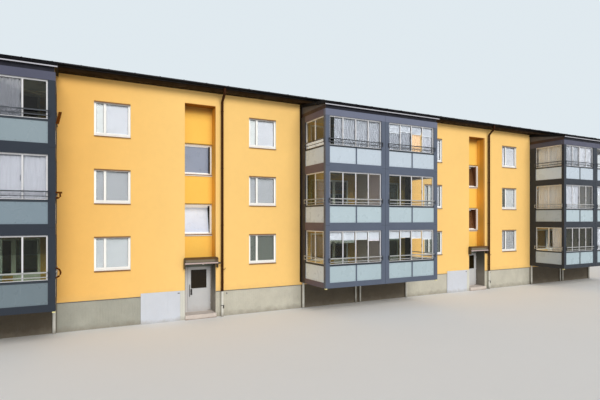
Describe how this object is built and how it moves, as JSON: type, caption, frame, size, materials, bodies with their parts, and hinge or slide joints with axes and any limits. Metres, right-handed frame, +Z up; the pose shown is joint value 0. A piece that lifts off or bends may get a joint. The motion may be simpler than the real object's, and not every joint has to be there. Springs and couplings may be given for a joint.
{
  "type": "apartment block",
  "caption": "Three-storey apartment block with yellow render, a grey base, glazed balcony stacks and two recessed stair entrances.",
  "frame": {"origin": "ground level in the middle of the building's plan, on the underside of the slab", "axes": "+X along the length to the right seen from the street, +Y from the street front to the rear, +Z up"},
  "size_m": [38.94, 14.0103, 11.9435],
  "materials": {
    "grey_base": "matte",
    "floor_concrete": "matte",
    "yellow_render": "matte",
    "white_frames": "satin",
    "window_panes": "gloss",
    "stair_panes": "gloss",
    "brown_sheet": "satin",
    "blue_grey_paint": "satin",
    "parapet_board": "satin",
    "rail_paint": "satin",
    "pale_profiles": "satin",
    "balcony_panes": "gloss",
    "white_boards": "satin",
    "dark_roof": "satin",
    "grey_sheet": "satin",
    "black_gutter": "satin",
    "brown_pipe": "satin",
    "pale_pipe": "satin",
    "canopy_sheet": "satin",
    "door_paint": "satin",
    "door_panes": "gloss",
    "dark_lining": "satin",
    "smooth_plate": "satin"
  },
  "bodies": {
    "root": {"foundation": "floor_concrete", "plinth_front": "grey_base", "plinth_rear": "grey_base", "hall_walls": "floor_concrete", "ground_floor": "floor_concrete", "upper_floors": "floor_concrete", "attic_floor": "floor_concrete", "front_walls": "yellow_render", "back_wall": "yellow_render", "end_walls": "yellow_render", "recess_heads": "yellow_render", "recess_cheeks": "yellow_render", "stair_front_walls": "yellow_render", "window_frames": "white_frames", "window_glass": "window_panes", "stair_sashes": "white_frames", "window_sheets": "brown_sheet", "balcony_door_frames": "white_frames", "stair_glass": "stair_panes", "balcony_slabs": "floor_concrete", "balcony_posts": "blue_grey_paint", "balcony_beams": "blue_grey_paint", "balcony_panels": "parapet_board", "balcony_caps": "blue_grey_paint", "balcony_rails": "rail_paint", "balcony_glazing_frames": "pale_profiles", "balcony_glass": "balcony_panes", "balcony_screens": "white_boards", "balcony_roofs": "dark_roof", "balcony_roof_sides": "grey_sheet", "main_roof": "dark_roof", "verge_boards": "dark_roof", "eave_boards": "dark_roof", "gutters": "black_gutter", "downpipes": "brown_pipe", "drain_pipes": "pale_pipe", "canopies": "canopy_sheet", "landings": "floor_concrete", "door_frames": "door_paint", "porch_linings": "dark_lining", "plinth_plates": "smooth_plate"},
    "left_door": {"left_door_leaf": "door_paint", "left_door_glass": "door_panes"},
    "right_door": {"right_door_leaf": "door_paint", "right_door_glass": "door_panes"}
  },
  "joints": [
    {"name": "left_door_hinge", "type": "hinge", "parent": "root", "child": "left_door", "pos_m": [-9.56, -4.892, 1.2], "axis": [0, 0, 1], "range_deg": [0, 90]},
    {"name": "right_door_hinge", "type": "hinge", "parent": "root", "child": "right_door", "pos_m": [7.99, -4.892, 1.2], "axis": [0, 0, 1], "range_deg": [0, 90]}
  ]
}
